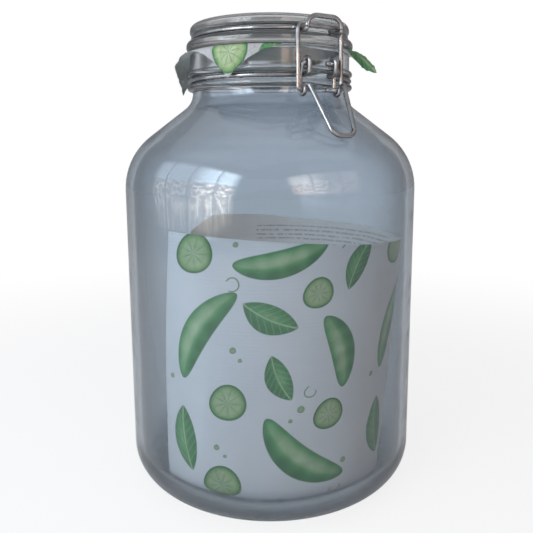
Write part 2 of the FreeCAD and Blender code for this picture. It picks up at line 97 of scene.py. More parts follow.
LEAFLET_TOP_RADIUS = 83.5
LEAFLET_TAPER = 11.9
LEAFLET_BOTTOM = 9.624
LEAFLET_HEIGHT = 157.4
LEAFLET_TILT = math.radians(4.35)
LEAFLET_HIGH = -95.0
LEAFLET_START = -71.0
LEAFLET_ARC = 267.0
LEAFLET_LEAN = 21.0
LEAFLET_THICKNESS = 0.4
# The roll's far end has a soft upper corner: the share of its length and its drop.
CORNER_SHARE = 0.085
CORNER_DROP = 15.0


# ---------------------------------------------------------------- turned glass

ARC_STEP = math.radians(5)
# A corner that turns less than this stays as it is. Any other is cut back by the
# softness, though by no more than this share of the run on either side of it.
SHARP_TURN = math.radians(14)
SOFTNESS = 0.6
CUT_SHARE = 0.45
LONGEST_RUN = 6.0
JAR_COLUMNS = 224
LID_COLUMNS = 192


def minor_arc(start, end, bulge):
    """Points after start up to end, on the arc to the right of the way if bulge > 0."""
    start, end = Vector(start), Vector(end)
    middle = (start + end) / 2
    half = (end - start) / 2
    radius = max(abs(bulge), half.length)
    side = 1 if bulge > 0 else -1
    right = Vector((half.y, -half.x)).normalized()
    centre = middle - right * side * math.sqrt(radius ** 2 - half.length_squared)
    first = start - centre
    turn = 2 * math.asin(min(1.0, half.length / radius)) * side
    count = max(3, math.ceil(abs(turn) / ARC_STEP))
    return [centre + Matrix.Rotation(turn * k / count, 2) @ first for k in range(1, count + 1)]


def outline(corners):
    """A half section's points, with each sharp corner softened as moulded glass is."""
    points = [Vector(corners[0][:2])]
    for before, corner in zip(corners, corners[1:]):
        if len(corner) > 2:
            points += minor_arc(before[:2], corner[:2], corner[2])
        else:
            points.append(Vector(corner[:2]))
    soft = [points[0]]
    for before, here, after in zip(points, points[1:], points[2:]):
        come, go = here - before, after - here
        if come.angle(go) < SHARP_TURN:
            soft.append(here)
            continue
        reach = min(SOFTNESS, come.length * CUT_SHARE, go.length * CUT_SHARE)
        a, b = here - come.normalized() * reach, here + go.normalized() * reach
        for share in (0.0, 0.25, 0.5, 0.75, 1.0):
            soft.append(a.lerp(here, share).lerp(here.lerp(b, share), share))
    soft.append(points[-1])
    return soft


def divided(points):
    """The same outline with its long runs cut into shorter ones."""
    out = [points[0]]
    for before, here in zip(points, points[1:]):
        count = max(1, math.ceil((here - before).length / LONGEST_RUN))
        out += [before.lerp(here, k / count) for k in range(1, count + 1)]
    return out


def placed(name, data):
    """A new object that holds the data, linked to the scene."""
    made = bpy.data.objects.new(name, data)
    bpy.context.scene.collection.objects.link(made)
    return made


def piece(name, verts, faces):
    """A new smooth-shaded object at the origin."""
    mesh = bpy.data.meshes.new(name)
    mesh.from_pydata(verts, [], faces)
    mesh.validate()
    mesh.shade_smooth()
    return placed(name, mesh)


def turned(name, section, columns):
    """A closed glass body spun about Z from a half section that starts and ends on the axis."""
    points = divided(outline(section))
    rings = points[1:-1]
    verts = [Vector((0, 0, points[0].y)) * MM, Vector((0, 0, points[-1].y)) * MM]
    for point in rings:
        for k in range(columns):
            angle = 2 * math.pi * k / columns
            place = Vector((point.x * math.cos(angle), point.x * math.sin(angle), point.y))
            verts.append(place * MM)
    last = 2 + (len(rings) - 1) * columns
    faces = []
    for k in range(columns):
        beside = (k + 1) % columns
        faces.append((0, 2 + beside, 2 + k))
        faces.append((1, last + k, last + beside))
        for row in range(len(rings) - 1):
            low = 2 + row * columns
            high = low + columns
            faces.append((low + k, low + beside, high + beside, high + k))
    return piece(name, verts, faces)


def jar_section():
    """The jar's half section: outside from the base up, then inside down."""
    sine, cosine = math.sin(SHOULDER_SLOPE), math.cos(SHOULDER_SLOPE)
    top_r = NECK_RADIUS + NECK_BLEND * (1 - cosine)
    top_z = NECK_BASE - NECK_BLEND * sine
    low_r = BODY_RADIUS - SHOULDER_RADIUS * (1 - cosine)
    low_z = top_z - (low_r - top_r) * cosine / sine
    wall_top = low_z - SHOULDER_RADIUS * sine
    inner_neck = NECK_RADIUS - WALL
    inner_body = BODY_RADIUS - WALL
    return [
        (0, KICK_DEPTH),
        (KICK_RADIUS, KICK_DEPTH),
        (KICK_RADIUS + KICK_SLOPE, 0),
        (BODY_RADIUS - HEEL_RADIUS, 0),
        (BODY_RADIUS, HEEL_RADIUS, HEEL_RADIUS),
        (BODY_RADIUS, wall_top),
        (low_r, low_z, SHOULDER_RADIUS),
        (top_r, top_z),
        (NECK_RADIUS, NECK_BASE, -NECK_BLEND),
        (NECK_RADIUS, LOW_BEAD - BEAD_ROUND),
        (COLLAR, LOW_BEAD - BEAD_ROUND),
        (COLLAR, LOW_BEAD + BEAD_ROUND, BEAD_ROUND),
        (NECK_RADIUS, LOW_BEAD + BEAD_ROUND),
        (NECK_RADIUS, HIGH_BEAD - BEAD_ROUND),
        (COLLAR, HIGH_BEAD - BEAD_ROUND),
        (COLLAR, HIGH_BEAD + BEAD_ROUND, BEAD_ROUND),
        (COLLAR, RIM_TOP - RIM_ROUND),
        (COLLAR - RIM_ROUND, RIM_TOP, RIM_ROUND),
        (inner_neck + RIM_ROUND, RIM_TOP),
        (inner_neck, RIM_TOP - RIM_ROUND, RIM_ROUND),
        (inner_neck, NECK_BASE),
        (top_r - WALL * cosine, top_z - WALL * sine, NECK_BLEND + WALL),
        (low_r - WALL * cosine, low_z - WALL * sine),
        (inner_body, wall_top, -(SHOULDER_RADIUS - WALL)),
        (inner_body, FLOOR + INNER_HEEL),
        (inner_body - INNER_HEEL, FLOOR, -INNER_HEEL),
        (0, FLOOR),
    ]


def lid_section():
    """The lid's half section: hollow underside, flange, wire groove and dome."""
    return [
        (0, LID_BASE + HOLLOW_DEPTH),
        (HOLLOW_RADIUS - HOLLOW_SLOPE, LID_BASE + HOLLOW_DEPTH),
        (HOLLOW_RADIUS, LID_BASE),
        (FLANGE_RADIUS - FLANGE_ROUND, LID_BASE),
        (FLANGE_RADIUS, LID_BASE + FLANGE_ROUND, FLANGE_ROUND),
        (FLANGE_RADIUS, FLANGE_TOP - FLANGE_ROUND),
        (FLANGE_RADIUS - FLANGE_ROUND, FLANGE_TOP, FLANGE_ROUND),
        (GROOVE_RADIUS, FLANGE_TOP),
        (GROOVE_RADIUS, DOME_BASE),
        (DOME_RADIUS - DOME_LOWER, DOME_BASE),
        (DOME_RADIUS, DOME_BASE + DOME_LOWER, DOME_LOWER),
        (DOME_RADIUS, LID_TOP - DOME_ROUND),
        (DOME_RADIUS - DOME_ROUND, LID_TOP, DOME_ROUND),
        (DISH_RADIUS + DISH_SLOPE, LID_TOP),
        (DISH_RADIUS, LID_TOP - DISH_DEPTH),
        (0, LID_TOP - DISH_DEPTH),
    ]


# ---------------------------------------------------------------------- wires

# Corners of a CAD mesh that are nearer than this, in metres, are one.
MERGE_DISTANCE = 1e-6
# Each wire's node and the body that it moves with.
WIRES = (("neck_wire", "jar"), ("lid_wire", "lid"), ("lever", "lever"), ("hasp", "hasp"))


def drawn_wire(node):
    """A wire's own CAD mesh, joined up so that it shades as one round rod."""
    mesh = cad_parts[node].data.copy()
    joined = bmesh.new()
    joined.from_mesh(mesh)
    bmesh.ops.remove_doubles(joined, verts=joined.verts, dist=MERGE_DISTANCE)
    joined.to_mesh(mesh)
    joined.free()
    mesh.shade_smooth()
    mesh.materials.clear()
    return placed(f"{node}_rod", mesh)


# ---------------------------------------------------------------- paper pieces

# The sheet's creases: how closely each layer repeats and its share of the height, the
# ridges that sharpen each layer, where they lie in the noise, and their height.
CREASES = ((0.11, 1.0), (0.23, 0.5), (0.5, 0.22))
RIDGE_SCALE = 1.7
RIDGE_SHARE = 0.6
CREASE_PLACE = 3.1
CREASE_HEIGHT = 1.1
# The creases grow to their full height over this length past the sheet's supported edge.
LOOSE_REACH = 6.0
BEND_STEP = 0.3
TINY = 1e-9
# The sheet's mesh: rings up to a share of each corner's length, and closer ones past it.
SHEET_COLUMNS = 360
INNER_RINGS = 8
OUTER_RINGS = 38
INNER_SHARE = 0.62

LEAFLET_COLUMNS = 320
LEAFLET_ROWS = 60
# The roll's uneven upper edge: its depth, its waves and their place in the noise.
EDGE_DIP = 0.8
EDGE_WAVES = 9.0
EDGE_PLACE = 8.0
# Its uneven wall, true at the foot and at its full wave from a quarter of the way up.
WALL_WAVE = 0.45
WAVES_AROUND = 7.0
WAVES_UP = 1.6
WAVE_PLACE = 0.4
WAVE_RISE = 4.0


def outward_at(bearing):
    """The level direction at a bearing, in degrees from the closure towards +X."""
    angle = math.radians(bearing)
    return Vector((math.sin(angle), -math.cos(angle), 0))


def with_uv(made, flat):
    """Gives a piece a UV map named 'flat': each vertex's place on the flat paper, in metres."""
    layer = made.data.uv_layers.new(name="flat")
    for loop in made.data.loops:
        layer.data[loop.index].uv = flat[loop.vertex_index]
    return made


def mark_underside(made, under):
    """A point attribute that is 1 on the paper's unprinted side."""
    layer = made.data.attributes.new("underside", "FLOAT", "POINT")
    for index, item in enumerate(layer.data):
        item.value = 1.0 if index in under else 0.0


def closure_distance(bearing):
    """Degrees from the nearer of the closure and the hinge."""
    return abs((bearing + 90.0) % 180.0 - 90.0)


def crinkle(flat):
    """Creased paper's relief at a place on it: ridges between flat, tilted facets."""
    relief = 0.0
    for scale, share in CREASES:
        place = Vector((flat.x * scale, flat.y * scale, CREASE_PLACE))
        ridge = RIDGE_SHARE * abs(noise.noise(place * RIDGE_SCALE))
        relief += share * (noise.noise(place) + ridge)
    return relief


def bent(along, fall, bend):
    """How far out and down the paper gets in a length along it, and its slope there."""
    inside = SHEET_EDGE - BEND_START
    out, down, slope = min(along, inside), 0.0, 0.0
    travelled = inside
    while travelled < along - TINY:
        step = min(BEND_STEP, along - travelled)
        slope = math.radians(fall) * min(1.0, (travelled + step / 2 - inside) / bend)
        out += step * math.cos(slope)
        down += step * math.sin(slope)
        travelled += step
    return out, down, slope


def sheet_point(bearing, share):
    """A point of the square sheet: its place, its normal and its place on the flat paper."""
    away = (bearing - SHEET_TURN) % 360.0
    corner = math.floor(away / 90.0 + 0.5)
    off = away - 90.0 * corner
    fall, bend, stretch, twist = CORNERS[corner % 4]
    reach = SHEET_HALF / math.cos(math.radians(45 - abs(off)))
    reach *= 1 + (stretch - 1) * (1 - abs(off) / 45)
    clear = min(1.0, max(0.0, (closure_distance(bearing) - CUT_BACK) / CUT_RAMP))
    spare = max(0.0, reach - SHEET_EDGE) * clear
    along = share * (SHEET_EDGE + spare)
    out, down, slope = bent(along, fall, bend)
    down -= twist * math.sin(math.radians(off)) * max(0.0, along - SHEET_EDGE)
    outward = outward_at(bearing)
    flat = outward.xy * along
    loose = min(1.0, max(0.0, (along - SHEET_EDGE) / LOOSE_REACH))
    normal = outward * math.sin(slope) + Vector((0, 0, math.cos(slope)))
    height = crinkle(flat) * loose * CREASE_HEIGHT
    middle = outward * out + Vector((0, 0, RIM_TOP + SHEET_THICKNESS / 2 - down))
    return middle + normal * height, normal, flat


def printed_sheet():
    """The printed square of paper over the mouth, its corners bent down and creased."""
    shares = [INNER_SHARE * k / INNER_RINGS for k in range(1, INNER_RINGS + 1)]
    shares += [INNER_SHARE + (1 - INNER_SHARE) * (k / OUTER_RINGS)
               for k in range(1, OUTER_RINGS + 1)]
    sides = ([], [])
    flats = []
    for share in shares:
        for k in range(SHEET_COLUMNS):
            place, normal, flat = sheet_point(360.0 * k / SHEET_COLUMNS, share)
            sides[0].append((place + normal * SHEET_THICKNESS / 2) * MM)
            sides[1].append((place - normal * SHEET_THICKNESS / 2) * MM)
            flats.append(flat * MM)
    level = RIM_TOP + SHEET_THICKNESS
    verts = [Vector((0, 0, level)) * MM, Vector((0, 0, RIM_TOP)) * MM] + sides[0] + sides[1]
    uvs = [Vector((0, 0))] * 2 + flats + flats
    under = len(sides[0])
    last = 2 + (len(shares) - 1) * SHEET_COLUMNS
    faces = []
    for k in range(SHEET_COLUMNS):
        beside = (k + 1) % SHEET_COLUMNS
        faces.append((0, 2 + k, 2 + beside))
        faces.append((1, 2 + under + beside, 2 + under + k))
        for row in range(len(shares) - 1):
            a = 2 + row * SHEET_COLUMNS
            b = a + SHEET_COLUMNS
            faces.append((a + k, b + k, b + beside, a + beside))
            faces.append((under + a + beside, under + b + beside, under + b + k, under + a + k))
        faces.append((last + k, under + last + k, under + last + beside, last + beside))
    made = with_uv(piece("printed_paper", verts, faces), uvs)
    mark_underside(made, {1, *range(2 + under, 2 + 2 * under)})
    return made


def leaflet_top(bearing):
    """The level of the roll's sloping upper edge at a bearing."""
    away = 1 - math.cos(math.radians(bearing - LEAFLET_HIGH))
    drop = LEAFLET_TOP_RADIUS * math.tan(LEAFLET_TILT) * away
    return LEAFLET_BOTTOM + LEAFLET_HEIGHT - drop


def leaflet_point(around, up):
    """The roll's outward direction, outer radius and level at a share around and up it."""
    lean = LEAFLET_LEAN * (1 - up)
    bearing = LEAFLET_START - lean + (LEAFLET_ARC + 2 * lean) * around
    dip = EDGE_DIP + EDGE_DIP * noise.noise(Vector((around * EDGE_WAVES, EDGE_PLACE, 0.0)))
    dip += CORNER_DROP * max(0.0, 1 - (1 - around) / CORNER_SHARE) ** 2
    level = LEAFLET_BOTTOM + (leaflet_top(bearing) - LEAFLET_BOTTOM - dip) * up
    share = (level - LEAFLET_BOTTOM) / LEAFLET_HEIGHT
    radius = LEAFLET_TOP_RADIUS - LEAFLET_TAPER * (1 - share)
    wave = noise.noise(Vector((around * WAVES_AROUND, up * WAVES_UP, WAVE_PLACE)))
    radius -= (WALL_WAVE + WALL_WAVE * wave) * min(1.0, WAVE_RISE * up)
    return outward_at(bearing), radius, level


def leaflet():
    """The rolled leaflet: an open cone of printed paper whose ends lean apart upwards."""
    length = math.radians(LEAFLET_ARC) * LEAFLET_TOP_RADIUS
    half = LEAFLET_THICKNESS / 2
    sides = ([], [])
    flats = []
    for row in range(LEAFLET_ROWS + 1):
        for k in range(LEAFLET_COLUMNS + 1):
            around = k / LEAFLET_COLUMNS
            outward, radius, level = leaflet_point(around, row / LEAFLET_ROWS)
            for side, lift in zip(sides, (half, -half)):
                place = outward * (radius - half + lift) + Vector((0, 0, level))
                side.append(place * MM)
            flats.append(Vector((length * around, level)) * MM)
    under = len(sides[0])
    wide = LEAFLET_COLUMNS + 1
    faces = []
    for row in range(LEAFLET_ROWS):
        for k in range(LEAFLET_COLUMNS):
            a = row * wide + k
            b = a + wide
            faces.append((a, a + 1, b + 1, b))
            faces.append((under + b, under + b + 1, under + a + 1, under + a))
    for k in range(LEAFLET_COLUMNS):
        top = LEAFLET_ROWS * wide + k
        faces.append((k + 1, k, under + k, under + k + 1))
        faces.append((top, top + 1, under + top + 1, under + top))
    for row in range(LEAFLET_ROWS):
        a = row * wide
        b = a + LEAFLET_COLUMNS
        faces.append((a, a + wide, under + a + wide, under + a))
        faces.append((b + wide, b, under + b, under + b + wide))
    made = with_uv(piece("rolled_leaflet", sides[0] + sides[1], faces), flats + flats)
    mark_underside(made, set(range(under, 2 * under)))
    return made


# ---------------------------------------------------------------- node helpers

def new_group(name, inputs, outputs):
    """A shader node group with its named sockets and its two end nodes."""
    group = bpy.data.node_groups.new(name, "ShaderNodeTree")
    for label, kind, value in inputs:
        socket = group.interface.new_socket(label, in_out="INPUT", socket_type=f"NodeSocket{kind}")
        if value is not None:
            socket.default_value = value
    for label, kind in outputs:
        group.interface.new_socket(label, in_out="OUTPUT", socket_type=f"NodeSocket{kind}")
    return group, group.nodes.new("NodeGroupInput"), group.nodes.new("NodeGroupOutput")


class Nodes:
    """Adds nodes to a tree and wires them: a value that is a socket is linked."""

    def __init__(self, tree):
        self.tree = tree

    def add(self, kind, settings=None, **inputs):
        """A node with its settings and inputs; i0, i1 and so on name inputs by number."""
        node = self.tree.nodes.new(kind)
        for key, value in (settings or {}).items():
            setattr(node, key, value)
        for key, value in inputs.items():
            self.put(node, key.replace("_", " "), value)
        return node

    def put(self, node, key, value):
        """Sets or links one input of a node."""
        numbered = key[0] == "i" and key[1:].isdigit()
        socket = node.inputs[int(key[1:])] if numbered else node.inputs[key]
        if isinstance(value, bpy.types.NodeSocket):
            self.tree.links.new(value, socket)
        else:
            socket.default_value = value

    def group(self, tree, **inputs):
        """The outputs of a node group with its inputs set."""
        return self.add("ShaderNodeGroup", {"node_tree": tree}, **inputs).outputs

    def send(self, end, **values):
        """Links values to a node group's own outputs."""
        for label, value in values.items():
            self.tree.links.new(value, end.inputs[label])

    def math(self, operation, a, b=0.0, c=None, clamp=False):
        """One operation on up to three values."""
        settings = {"operation": operation, "use_clamp": clamp}
        node = self.add("ShaderNodeMath", settings, i0=a, i1=b)
        if c is not None:
            self.put(node, "i2", c)
        return node.outputs[0]

    def vector(self, operation, a, b):
        """One operation on two vectors."""
        node = self.add("ShaderNodeVectorMath", {"operation": operation}, i0=a, i1=b)
        return node.outputs[0]

    def length(self, vector):
        """How long a vector is."""
        settings = {"operation": "LENGTH"}
        return self.add("ShaderNodeVectorMath", settings, i0=vector).outputs["Value"]

    def split(self, vector):
        """A vector's X, Y and Z outputs."""
        return self.add("ShaderNodeSeparateXYZ", None, Vector=vector).outputs

    def mix(self, share, a, b, blend="MIX"):
        """Two colours mixed or blended by a share."""
        node = self.add("ShaderNodeMix", {"data_type": "RGBA", "blend_type": blend})
        for key, item in zip(("i0", "i6", "i7"), (share, a, b)):
            self.put(node, key, item)
        return node.outputs[2]

    def span(self, value, low, high, to_low=0.0, to_high=1.0, smooth=True):
        """A value's way from low to high, as a way from to_low to to_high."""
        kind = "SMOOTHSTEP" if smooth else "LINEAR"
        node = self.add("ShaderNodeMapRange", {"interpolation_type": kind})
        for key, item in zip(("i0", "i1", "i2", "i3", "i4"), (value, low, high, to_low, to_high)):
            self.put(node, key, item)
        return node.outputs[0]

    def noise(self, vector, scale, detail=2.0, roughness=0.5):
        """Soft noise, mostly between 0.3 and 0.7."""
        return self.add("ShaderNodeTexNoise", None, Vector=vector, Scale=scale, Detail=detail,
                        Roughness=roughness).outputs["Fac"]

    def ramp(self, value, stops):
        """A colour ramp from stops, each a place and a colour."""
        node = self.add("ShaderNodeValToRGB", None, Fac=value)
        elements = node.color_ramp.elements
        while len(elements) < len(stops):
            elements.new(0.5)
        for element, (place, colour) in zip(elements, stops):
            element.position = place
            element.color = (*colour, 1.0)
        return node.outputs["Color"]

    def bump(self, shader, height, strength, distance):
        """Gives a shader a relief from a height."""
        node = self.add("ShaderNodeBump", None, Strength=strength, Distance=distance, Height=height)
        self.put(shader, "Normal", node.outputs[0])

    def surface(self, share, first, second):
        """Makes a mix of two shaders the material's surface."""
        blend = self.add("ShaderNodeMixShader", None, Fac=share)
        self.tree.links.new(first.outputs[0], blend.inputs[1])
        self.tree.links.new(second.outputs[0], blend.inputs[2])
        self.tree.links.new(blend.outputs[0], self.tree.nodes["Material Output"].inputs["Surface"])


def material(name):
    """A new material with its Principled shader, and a Nodes helper for its tree."""
    made = bpy.data.materials.new(name)
    made.use_nodes = True
    shader = made.node_tree.nodes["Principled BSDF"]
    return made, Nodes(made.node_tree), shader


# -------------------------------------------------------------- shared effects

# How softly a shape's edge fades, the least value that is raised to a power, a disc's
# lobes and their depth, and the scales of the paper's tooth and mottling.
SOFT_EDGE = 0.09
LEAST_PROFILE = 0.0001
LOBES = 3.0
LOBE_DEPTH = 0.03
TOOTH_SCALE = 900.0
MOTTLE_SCALE = 45.0


def tapered_shape_group():
    """A long pointed shape on flat paper, such as a leaf or a pod.

    Puts out how far inside it a place is (0 at the edge, 1 on the middle line), how far
    along it (-1 to 1) and how far across (-1 to 1).
    """
    group, start, end = new_group(
        "tapered_shape",
        [("Vector", "Vector", None), ("Centre", "Vector", None), ("Turn", "Float", 0.0),
         ("Length", "Float", 0.03), ("Width", "Float", 0.01), ("Bend", "Float", 0.0),
         ("Fullness", "Float", 0.6)],
        [("Mask", "Float"), ("Depth", "Float"), ("Along", "Float"), ("Across", "Float")])
    n = Nodes(group)
    given = start.outputs
    offset = n.vector("SUBTRACT", given["Vector"], given["Centre"])
    back = n.math("MULTIPLY", given["Turn"], -math.pi / 180)
    level = n.add("ShaderNodeVectorRotate", {"rotation_type": "Z_AXIS"}, Vector=offset, Angle=back)
    place = n.split(level.outputs[0])
    along = n.math("DIVIDE", place["X"], n.math("MULTIPLY", given["Length"], 0.5))
    square = n.math("MULTIPLY", along, along)
    sag = n.math("MULTIPLY", square, given["Bend"])
    half_width = n.math("MULTIPLY", given["Width"], 0.5)
    across = n.math("DIVIDE", n.math("SUBTRACT", place["Y"], sag), half_width)
    left = n.math("SUBTRACT", 1.0, square, clamp=True)
    profile = n.math("POWER", n.math("MAXIMUM", left, LEAST_PROFILE), given["Fullness"])
    depth = n.math("SUBTRACT", profile, n.math("ABSOLUTE", across))
    mask = n.span(depth, 0.0, SOFT_EDGE)
    n.send(end, Mask=mask, Depth=depth, Along=along, Across=across)
    return group


def round_shape_group():
    """A slightly uneven disc on flat paper: its mask, its radius share and its bearing."""
    group, start, end = new_group(
        "round_shape",
        [("Vector", "Vector", None), ("Centre", "Vector", None), ("Radius", "Float", 0.01)],
        [("Mask", "Float"), ("Radial", "Float"), ("Bearing", "Float")])
    n = Nodes(group)
    given = start.outputs
    offset = n.vector("SUBTRACT", given["Vector"], given["Centre"])
    place = n.split(offset)
    bearing = n.math("ARCTAN2", place["Y"], place["X"])
    waves = n.math("SINE", n.math("MULTIPLY", bearing, LOBES))
    share = n.math("DIVIDE", n.length(offset), given["Radius"])
    radial = n.math("ADD", share, n.math("MULTIPLY", waves, LOBE_DEPTH))
    mask = n.span(radial, 0.97, 1.03, 1.0, 0.0)
    n.send(end, Mask=mask, Radial=radial, Bearing=bearing)
    return group


def paper_tooth_group():
    """Paper's fine tooth and faint mottling, for bump and colour."""
    group, start, end = new_group(
        "paper_tooth", [("Vector", "Vector", None), ("Scale", "Float", 1.0)],
        [("Height", "Float"), ("Mottle", "Float")])
    n = Nodes(group)
    place = n.add("ShaderNodeVectorMath", {"operation": "SCALE"}, i0=start.outputs["Vector"],
                  Scale=start.outputs["Scale"]).outputs[0]
    n.send(end, Height=n.noise(place, TOOTH_SCALE, 3.0), Mottle=n.noise(place, MOTTLE_SCALE, 3.0))
    return group


# ------------------------------------------------------------ the green print

GREEN_DARK = (0.040, 0.215, 0.075)
GREEN_MIDDLE = (0.105, 0.385, 0.130)
GREEN_LIGHT = (0.50, 0.66, 0.40)
RIM_GREEN = (0.035, 0.185, 0.055)
PALE_GREEN = (0.56, 0.67, 0.42)
DOT_GREEN = (0.30, 0.45, 0.25)
LINE_GREEN = (0.13, 0.24, 0.13)
VEIN_GREEN = (0.10, 0.30, 0.09)

# The pods' and leaves' colours from dark to light, and the round ones' from the middle out.
POD_COLOURS = ((0.03, GREEN_DARK), (0.24, GREEN_MIDDLE), (0.62, GREEN_LIGHT))
LEAF_COLOURS = ((0.0, GREEN_DARK), (0.55, GREEN_MIDDLE), (1.0, GREEN_LIGHT))
ROUND_COLOURS = ((0.1, PALE_GREEN), (0.66, (0.46, 0.60, 0.32)), (0.86, (0.20, 0.40, 0.14)),
                 (0.95, RIM_GREEN))
DOT_COLOURS = ((0.1, (0.45, 0.58, 0.36)), (0.9, DOT_GREEN))
CURL_COLOURS = ((0.0, LINE_GREEN), (1.0, DOT_GREEN))
# The uneven wash of ink: the scale of its patches, and its colours.
WASH_SCALE = 150.0
WASH_COLOURS = ((0.32, (0.74, 0.80, 0.72)), (0.68, (1.0, 1.0, 1.0)))

# How full the pods and leaves are towards their ends, how closely swellings and veins
# repeat, the slant of a leaf's veins, and where in its disc a curl's line runs.
POD_FULLNESS = 0.5
POD_SWELLINGS = 15.0
LEAF_FULLNESS = 0.85
LEAF_VEINS = 24.0
LEAF_VEIN_SLANT = 11.0
ROUND_VEINS = 9.0
CURL_RADIUS = 0.9


def pod(n, group, vector, centre, turn, length, width, bend):
    """A pea pod: dark edges, a long shine along one side and faint swellings."""
    shape = n.group(group, Vector=vector, Centre=(*centre, 0.0), Turn=turn, Length=length,
                    Width=width, Bend=bend, Fullness=POD_FULLNESS)
    wave = n.math("COSINE", n.math("MULTIPLY", shape["Along"], POD_SWELLINGS))
    swell = n.span(wave, -1.0, 1.0, 0.0, 0.07)
    side = n.span(shape["Across"], -0.7, 0.6, 0.05, 0.9)
    light = n.math("ADD", n.math("MULTIPLY", shape["Depth"], side), swell)
    return shape["Mask"], n.ramp(light, POD_COLOURS)


def leaf(n, group, vector, centre, turn, length, width, bend):
    """A pointed leaf with a pale midrib and side veins."""
    shape = n.group(group, Vector=vector, Centre=(*centre, 0.0), Turn=turn, Length=length,
                    Width=width, Bend=bend, Fullness=LEAF_FULLNESS)
    across = n.math("ABSOLUTE", shape["Across"])
    rib = n.span(across, 0.02, 0.09, 0.8, 0.0)
    slant = n.math("SUBTRACT", n.math("MULTIPLY", shape["Along"], LEAF_VEINS),
                   n.math("MULTIPLY", across, LEAF_VEIN_SLANT))
    vein = n.span(n.math("SINE", slant), 0.80, 1.0, 0.0, 0.35)
    side = n.span(shape["Across"], -0.5, 0.6, 0.25, 1.1)
    green = n.ramp(n.math("MULTIPLY", shape["Depth"], side), LEAF_COLOURS)
    return shape["Mask"], n.mix(n.math("MAXIMUM", rib, vein), green, (*GREEN_LIGHT, 1.0))


def round_leaf(n, group, vector, centre, radius):
    """A round leaf seen flat: a dark rim, a pale middle and veins that spread from it."""
    shape = n.group(group, Vector=vector, Centre=(*centre, 0.0), Radius=radius)
    spokes = n.math("COSINE", n.math("MULTIPLY", shape["Bearing"], ROUND_VEINS))
    vein = n.span(spokes, 0.35, 1.0, 0.0, 0.75)
    inner = n.span(shape["Radial"], 0.15, 0.84, 1.0, 0.0, smooth=False)
    body = n.ramp(shape["Radial"], ROUND_COLOURS)
    return shape["Mask"], n.mix(n.math("MULTIPLY", vein, inner), body, (*VEIN_GREEN, 1.0))


def dot(n, group, vector, centre, radius):
    """A small printed pea."""
    shape = n.group(group, Vector=vector, Centre=(*centre, 0.0), Radius=radius)
    return shape["Mask"], n.ramp(shape["Radial"], DOT_COLOURS)


def tendril(n, group, vector, centre, radius, turn):
    """A thin curl: most of a ring, open on one side."""
    shape = n.group(group, Vector=vector, Centre=(*centre, 0.0), Radius=radius)
    away = n.math("ABSOLUTE", n.math("SUBTRACT", shape["Radial"], CURL_RADIUS))
    line = n.span(away, 0.06, 0.14, 1.0, 0.0)
    bearing = n.math("SUBTRACT", shape["Bearing"], math.radians(turn))
    shown = n.span(n.math("COSINE", bearing), 0.55, 0.75, 1.0, 0.0)
    return n.math("MULTIPLY", line, shown), n.ramp(shape["Radial"], CURL_COLOURS)


def printed(n, shapes, discs, paper, vector, motifs):
    """Lays the motifs over the paper's colour, each with an uneven wash of ink."""
    wash = n.ramp(n.noise(vector, WASH_SCALE, 3.0, 0.6), WASH_COLOURS)
    makers = {"pod": (pod, shapes), "leaf": (leaf, shapes), "round": (round_leaf, discs),
              "dot": (dot, discs), "curl": (tendril, discs)}
    colour = paper
    for kind, *values in motifs:
        maker, group = makers[kind]
        mask, ink = maker(n, group, vector, *values)
        colour = n.mix(mask, colour, n.mix(1.0, ink, wash, "MULTIPLY"))
    return colour


# One repeat of the leaflet's pattern, in metres on the flat paper: centre, turn in
# degrees, length, width and bend; or centre and radius, and a curl's open side.
REPEAT = 0.126
LEAFLET_MOTIFS = (
    ("pod", (0.024, 0.112), 62.0, 0.060, 0.0185, -0.007),
    ("pod", (0.088, 0.038), -38.0, 0.064, 0.0190, 0.008),
    ("pod", (0.107, 0.102), 112.0, 0.046, 0.0160, 0.005),
    ("pod", (0.066, 0.151), 14.0, 0.050, 0.0160, 0.005),
    ("leaf", (0.063, 0.121), -24.0, 0.034, 0.0165, 0.002),
    ("leaf", (0.019, 0.044), 104.0, 0.042, 0.0190, -0.003),
    ("leaf", (0.072, 0.087), -62.0, 0.030, 0.0140, 0.002),
    ("leaf", (0.109, 0.149), 68.0, 0.030, 0.0140, -0.002),
    ("round", (0.047, 0.021), 0.0118),
    ("round", (0.018, 0.155), 0.0112),
    ("round", (0.046, 0.072), 0.0108),
    ("round", (0.0875, 0.1345), 0.0085),
    ("round", (0.1035, 0.0640), 0.0092),
    ("curl", (0.0415, 0.1395), 0.0042, 200.0),
    ("curl", (0.1145, 0.0145), 0.0040, 100.0),
    ("curl", (0.0955, 0.1610), 0.0038, 250.0),
    ("curl", (0.0905, 0.0790), 0.0036, 60.0),
    ("dot", (0.046, 0.103), 0.0019),
    ("dot", (0.0505, 0.0975), 0.0012),
    ("dot", (0.0865, 0.069), 0.0021),
    ("dot", (0.0815, 0.0625), 0.0012),
    ("dot", (0.042, 0.044), 0.0018),
    ("dot", (0.0475, 0.0395), 0.0011),
    ("dot", (0.007, 0.081), 0.0016),
    ("dot", (0.1175, 0.033), 0.0018),
    ("dot", (0.041, 0.161), 0.0015),
    ("dot", (0.082, 0.010), 0.0017),
)

SHEET_MOTIFS = (
    ("round", (-0.0455, -0.0307), 0.0112),
    ("leaf", (-0.0296, -0.0500), 35.0, 0.026, 0.0150, 0.002),
    ("leaf", (0.0370, -0.0545), -56.0, 0.046, 0.0260, 0.0),
    ("leaf", (0.046, -0.018), 80.0, 0.036, 0.016, 0.002),
    ("leaf", (-0.026, 0.053), 105.0, 0.034, 0.0150, 0.002),
    ("round", (0.0505, 0.026), 0.0118),
    ("pod", (0.004, 0.010), 25.0, 0.056, 0.0170, 0.006),
    ("round", (-0.020, 0.022), 0.0110),
    ("dot", (-0.012, -0.022), 0.0018),
    ("dot", (0.022, 0.030), 0.0015),
)


